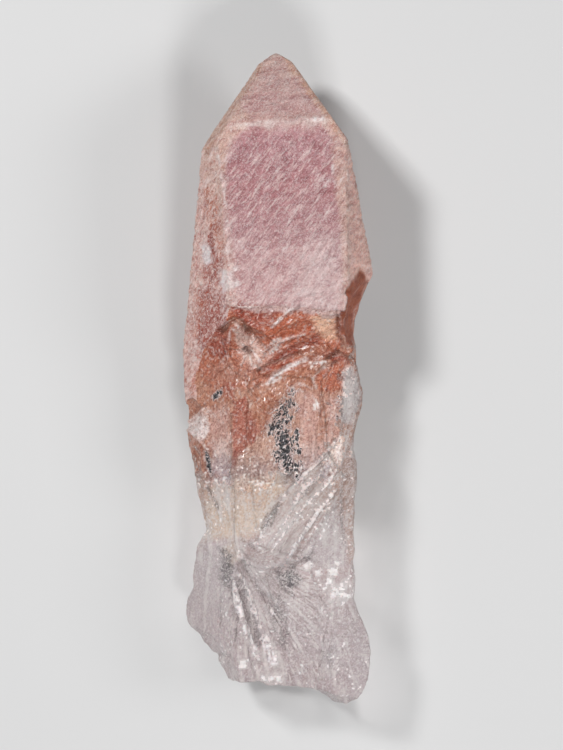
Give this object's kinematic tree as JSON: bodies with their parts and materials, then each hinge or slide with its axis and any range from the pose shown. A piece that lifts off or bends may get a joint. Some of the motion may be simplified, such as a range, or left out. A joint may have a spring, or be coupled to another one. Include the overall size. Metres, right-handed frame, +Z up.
{
  "type": "lemurian seed quartz crystal",
  "caption": "Natural quartz point with a frosted pink tip and faces, laddered sides and a clear, broken, flared foot, lying on its flat back.",
  "frame": {"origin": "centre of the box's underside, on the flat back prism face that the crystal lies on", "axes": "+Y along the crystal to its tip, +Z up out of the front prism face, +X to the right seen from above with the tip away"},
  "size_m": [0.0304, 0.104, 0.0223],
  "materials": {
    "quartz": "frosted pink on the growth faces, clear and glassy where broken"
  },
  "bodies": {
    "root": {"crystal": "quartz"}
  },
  "joints": []
}
